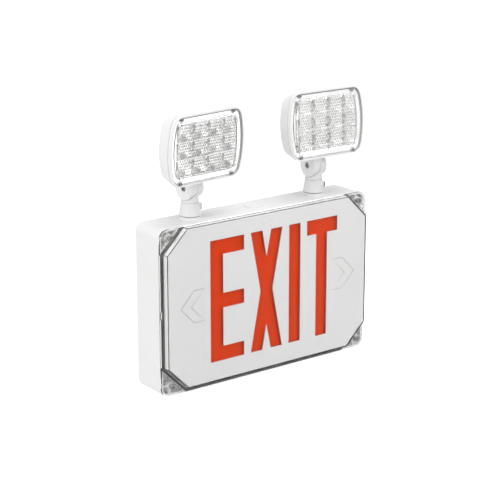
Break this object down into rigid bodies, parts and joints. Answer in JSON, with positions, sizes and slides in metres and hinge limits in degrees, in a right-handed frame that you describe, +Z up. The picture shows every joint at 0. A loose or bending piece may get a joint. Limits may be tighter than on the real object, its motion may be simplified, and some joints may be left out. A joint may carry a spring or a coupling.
{
  "type": "emergency exit light",
  "caption": "Wall-mounted wet-location exit sign with a clear gasketed cover and a pair of adjustable rectangular emergency lamp heads on swivel collars on top.",
  "frame": {"origin": "middle of the flat back face, halfway between the gang box screw holes, in the plane of the wall", "axes": "+X right as a person facing the sign sees it, -Y out of the wall to the front, +Z up"},
  "size_m": [0.315, 0.0653, 0.3478],
  "materials": {
    "white_plastic": "moulded, fine satin",
    "clear_plastic": "clear polycarbonate",
    "black_foam": "closed-cell foam",
    "face_white": "painted, satin",
    "red_plastic": "translucent red sheet",
    "steel": "stainless, passivated",
    "dark_steel": "black oxide",
    "circuit_board": "solder mask",
    "battery_wrap": "shrink sleeve",
    "black_plastic": "moulded",
    "iron_core": "varnished laminations",
    "reflector_bright": "vacuum metallised",
    "amber_plastic": "translucent",
    "terminal_grey": "moulded"
  },
  "bodies": {
    "housing": {"rear_housing": "white_plastic", "cover_gasket": "black_foam", "clear_cover": "clear_plastic", "cover_screws": "steel", "stencil_face": "face_white", "red_panel": "red_plastic", "light_tray": "white_plastic", "lamp_strips": "circuit_board", "wire_grommet": "black_foam", "conduit_plug": "white_plastic", "battery_pack": "battery_wrap", "battery_strap": "steel", "charger_board": "circuit_board", "board_parts": "black_plastic", "transformer": "iron_core", "terminal_block": "terminal_grey", "inner_screws": "steel", "test_switch": "black_plastic", "switch_nut": "steel", "button_spring": "steel", "pilot_light": "amber_plastic", "left_collar": "white_plastic", "left_collar_gasket": "black_foam", "left_collar_nut": "steel", "left_set_screw": "dark_steel", "right_collar": "white_plastic", "right_collar_gasket": "black_foam", "right_collar_nut": "steel", "right_set_screw": "dark_steel"},
    "test_button": {"test_button": "black_plastic"},
    "left_knuckle": {"left_knuckle": "white_plastic", "left_tilt_screw": "dark_steel", "left_tilt_nut": "steel"},
    "left_lamp": {"left_lamp_body": "white_plastic", "left_lens_gasket": "black_foam", "left_lens": "clear_plastic", "left_lens_screws": "dark_steel", "left_reflector": "reflector_bright", "left_led_board": "circuit_board"},
    "right_knuckle": {"right_knuckle": "white_plastic", "right_tilt_screw": "dark_steel", "right_tilt_nut": "steel"},
    "right_lamp": {"right_lamp_body": "white_plastic", "right_lens_gasket": "black_foam", "right_lens": "clear_plastic", "right_lens_screws": "dark_steel", "right_reflector": "reflector_bright", "right_led_board": "circuit_board"}
  },
  "joints": [
    {"name": "test_button_push", "type": "slide", "parent": "housing", "child": "test_button", "axis": [0, 0, 1], "range_m": [0, 0.002], "stiffness_N_per_m": 400, "springref_m": -0.001, "deforming": ["button_spring"]},
    {"name": "left_pan", "type": "hinge", "parent": "housing", "child": "left_knuckle", "pos_m": [-0.0945, -0.0246, 0.1231], "axis": [0, 0, 1], "range_deg": [-155.9, 144.1]},
    {"name": "left_tilt", "type": "hinge", "parent": "left_knuckle", "child": "left_lamp", "pos_m": [-0.0945, -0.0246, 0.1413], "axis": [0.9947, 0.1028, 0], "range_deg": [-48.2, 41.8]},
    {"name": "right_pan", "type": "hinge", "parent": "housing", "child": "right_knuckle", "pos_m": [0.0945, -0.0246, 0.1231], "axis": [0, 0, 1], "range_deg": [-147.6, 152.4]},
    {"name": "right_tilt", "type": "hinge", "parent": "right_knuckle", "child": "right_lamp", "pos_m": [0.0945, -0.0246, 0.1413], "axis": [0.9991, -0.0419, 0], "range_deg": [-41.9, 48.1]}
  ]
}
